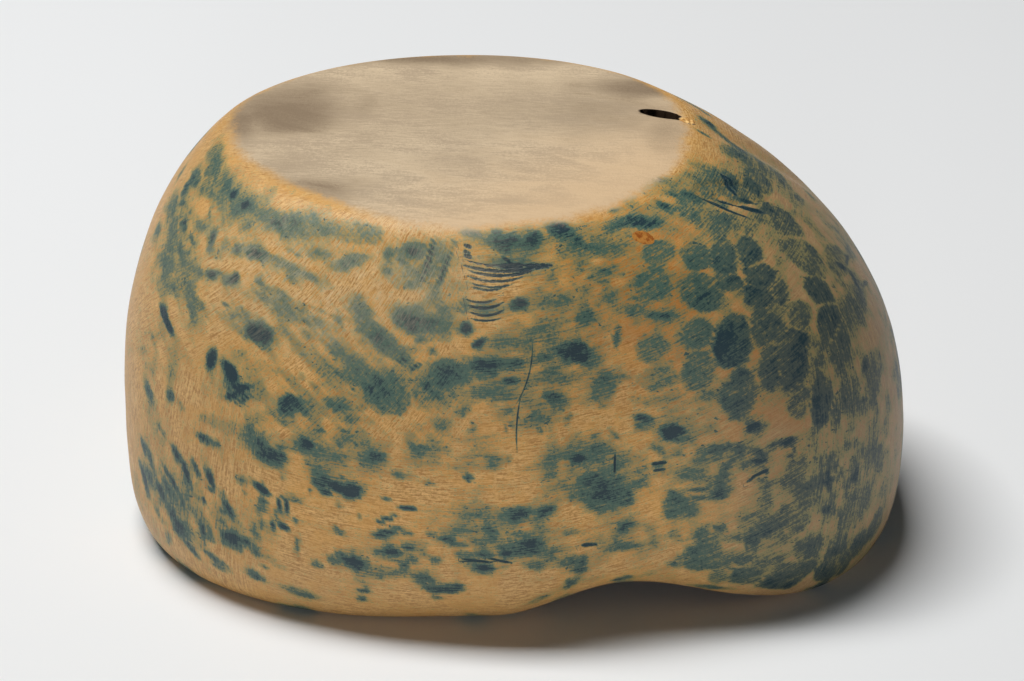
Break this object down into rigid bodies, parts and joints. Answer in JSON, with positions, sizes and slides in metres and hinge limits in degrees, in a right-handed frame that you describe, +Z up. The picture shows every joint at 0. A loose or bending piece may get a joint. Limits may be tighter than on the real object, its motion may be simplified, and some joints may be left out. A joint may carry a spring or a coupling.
{
  "type": "root bowl",
  "caption": "Hand-carved root-wood bowl with a flat base, full belly, tucked-in rim with a dip, natural slot and blue-green stained, waxed surface.",
  "frame": {"origin": "on the surface that the rim stands on, under the middle of the bowl", "axes": "+X along the bowl's length, +Y away from the front wall with the bark seams, +Z up from the rim to the flat base"},
  "size_m": [0.25, 0.158, 0.13],
  "materials": {
    "root_wood": "blue-green stained, hand sanded and waxed to a satin sheen, bare on the base",
    "bark": "ingrown bark, stained dark, matte",
    "knot": "pale encased knot, matte",
    "resin": "hard amber-brown tree resin, satin"
  },
  "bodies": {
    "root": {"bowl_shell": "root_wood", "bark_seam_upper": "bark", "bark_seam_lower": "bark", "side_pocket_bark": "bark", "slot_knot": "knot", "resin_pocket": "resin", "bark_fleck_left": "bark"}
  },
  "joints": []
}
